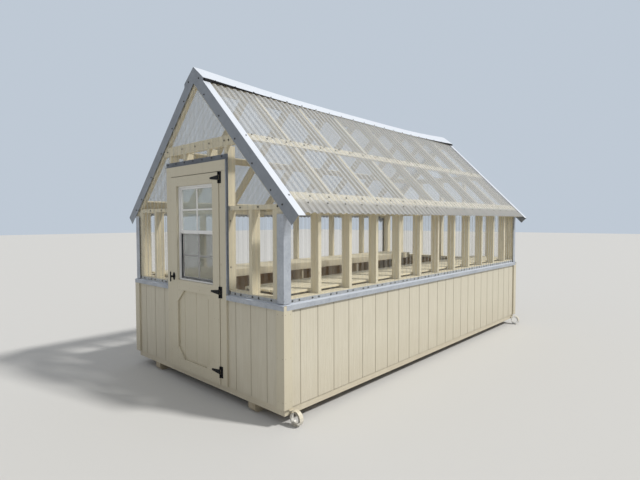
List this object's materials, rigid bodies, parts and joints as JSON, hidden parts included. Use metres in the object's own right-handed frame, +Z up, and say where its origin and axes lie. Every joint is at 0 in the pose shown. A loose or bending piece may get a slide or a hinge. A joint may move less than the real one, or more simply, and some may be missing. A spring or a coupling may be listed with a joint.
{
  "type": "greenhouse",
  "caption": "Gabled garden greenhouse on timber runners, with clear corrugated walls and roof, a grooved panel base wall, and a glazed hinged door.",
  "frame": {"origin": "on the ground, at the centre of the building's bounding box", "axes": "+Z up, the ridge runs along Y, the door is at the -Y end and hinged on its +X side"},
  "size_m": [2.7762, 4.9661, 3.0304],
  "materials": {
    "runner_wood": "weathered cream paint",
    "frame_wood": "thin pale cream paint",
    "deck_wood": "bare plywood",
    "bench_wood": "thin pale cream paint",
    "siding_paint": "satin cream paint on textured panel",
    "trim_paint": "satin cream paint",
    "door_paint": "satin cream paint",
    "clear_sheet": "clear corrugated polycarbonate",
    "galvanised": "galvanised sheet",
    "white_vinyl": "white vinyl",
    "pane_glass": "clear float glass",
    "screen_mesh": "dark insect mesh",
    "black_iron": "satin black paint",
    "steel_strap": "bare strap steel"
  },
  "bodies": {
    "building": {"skids": "runner_wood", "floor_frame": "frame_wood", "wall_frame_right": "frame_wood", "wall_frame_left": "frame_wood", "wall_frame_rear": "frame_wood", "wall_frame_front_right": "frame_wood", "wall_frame_front_left": "frame_wood", "gable_frames": "frame_wood", "rafters": "frame_wood", "ridge_board": "frame_wood", "purlins": "frame_wood", "floor_deck": "deck_wood", "bench_boards": "bench_wood", "bench_bearers": "bench_wood", "bench_legs": "bench_wood", "siding_right": "siding_paint", "siding_left": "siding_paint", "siding_rear": "siding_paint", "siding_front": "siding_paint", "corner_boards": "trim_paint", "door_casing_sides": "trim_paint", "door_casing_head": "trim_paint", "sheet_wall_right": "clear_sheet", "sheet_wall_left": "clear_sheet", "sheet_front_bays": "clear_sheet", "sheet_front_gable": "clear_sheet", "sheet_rear": "clear_sheet", "sheet_roof_right": "clear_sheet", "sheet_roof_left": "clear_sheet", "belt_flashing": "galvanised", "rake_trims": "galvanised", "ridge_cap": "galvanised", "corner_angles": "galvanised", "casing_flashing": "galvanised", "hinge_plates": "black_iron", "tie_down_straps": "steel_strap"},
    "door": {"door_boards": "door_paint", "door_panel": "door_paint", "door_ledges": "door_paint", "window_frame": "white_vinyl", "window_sashes": "white_vinyl", "window_panes": "pane_glass", "window_screen": "screen_mesh", "hinge_straps": "black_iron", "door_handle": "black_iron"}
  },
  "joints": [
    {"name": "door_hinge", "type": "hinge", "parent": "building", "child": "door", "pos_m": [0.4085, -2.443, 1], "axis": [0, 0, 1], "range_deg": [0, 160]}
  ]
}
